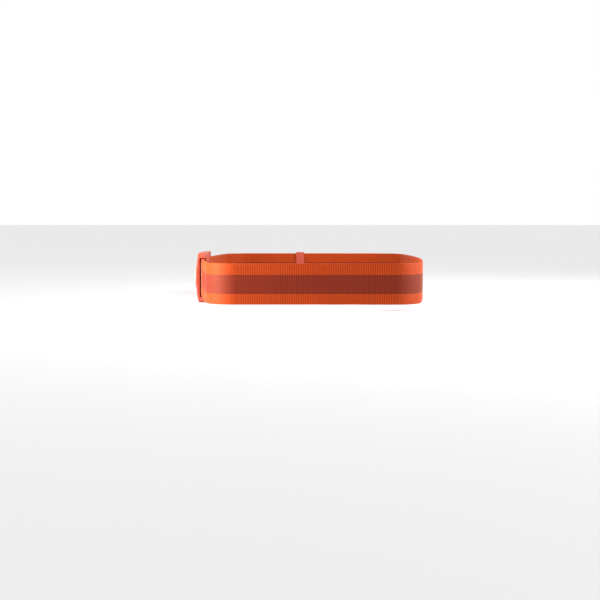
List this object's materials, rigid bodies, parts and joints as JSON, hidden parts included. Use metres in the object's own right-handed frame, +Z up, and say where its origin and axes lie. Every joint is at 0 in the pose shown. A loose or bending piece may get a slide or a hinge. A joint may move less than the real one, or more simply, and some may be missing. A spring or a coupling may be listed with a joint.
{
  "type": "luggage strap",
  "caption": "Striped webbing loop drawn round a suitcase and closed with a domed side-release buckle, its spare end doubled back under a sliding keeper.",
  "frame": {"origin": "middle of the loop, at half the webbing's width, where the suitcase's own middle line runs", "axes": "+X from the case's front, where the buckle is, to its back; +Y from the near narrow side to the far one; +Z up the case, across the webbing"},
  "size_m": [0.3043, 0.4775, 0.066],
  "materials": {
    "webbing": "woven polyester webbing, orange borders and a rust centre stripe",
    "thread": "bonded polyester sewing thread",
    "buckle_plastic": "finely textured coral-red acetal",
    "prong_plastic": "smooth coral-red acetal",
    "badge": "pale satin badge, blank"
  },
  "bodies": {
    "strap": {"webbing_loop": "webbing", "webbing_end_fold": "webbing", "webbing_plug_run": "webbing", "webbing_tail_front": "webbing", "webbing_tail_end": "webbing", "box_stitch": "thread", "hem_stitch": "thread", "socket_base": "buckle_plastic", "socket_cover": "buckle_plastic", "medallion": "badge"},
    "plug": {"plug_frame": "buckle_plastic", "webbing_bar_wrap": "webbing"},
    "upper_prong": {"upper_prong": "prong_plastic"},
    "lower_prong": {"lower_prong": "prong_plastic"},
    "keeper": {"keeper": "buckle_plastic"}
  },
  "joints": [
    {"name": "plug_release", "type": "slide", "parent": "strap", "child": "plug", "axis": [0, 1, 0], "range_m": [0, 0.05], "deforming": ["webbing_plug_run", "webbing_tail_front", "upper_prong", "lower_prong"]},
    {"name": "upper_prong_squeeze", "type": "hinge", "parent": "plug", "child": "upper_prong", "pos_m": [-0.1481, 0.015, 0.021], "axis": [1, 0, 0], "range_deg": [0, 7], "stiffness_Nm_per_rad": 4},
    {"name": "lower_prong_squeeze", "type": "hinge", "parent": "plug", "child": "lower_prong", "pos_m": [-0.1481, 0.015, -0.021], "axis": [-1, 0, 0], "range_deg": [0, 7], "stiffness_Nm_per_rad": 4},
    {"name": "keeper_slide", "type": "slide", "parent": "strap", "child": "keeper", "axis": [1, 0, 0], "range_m": [-0.055, 0.03]}
  ]
}
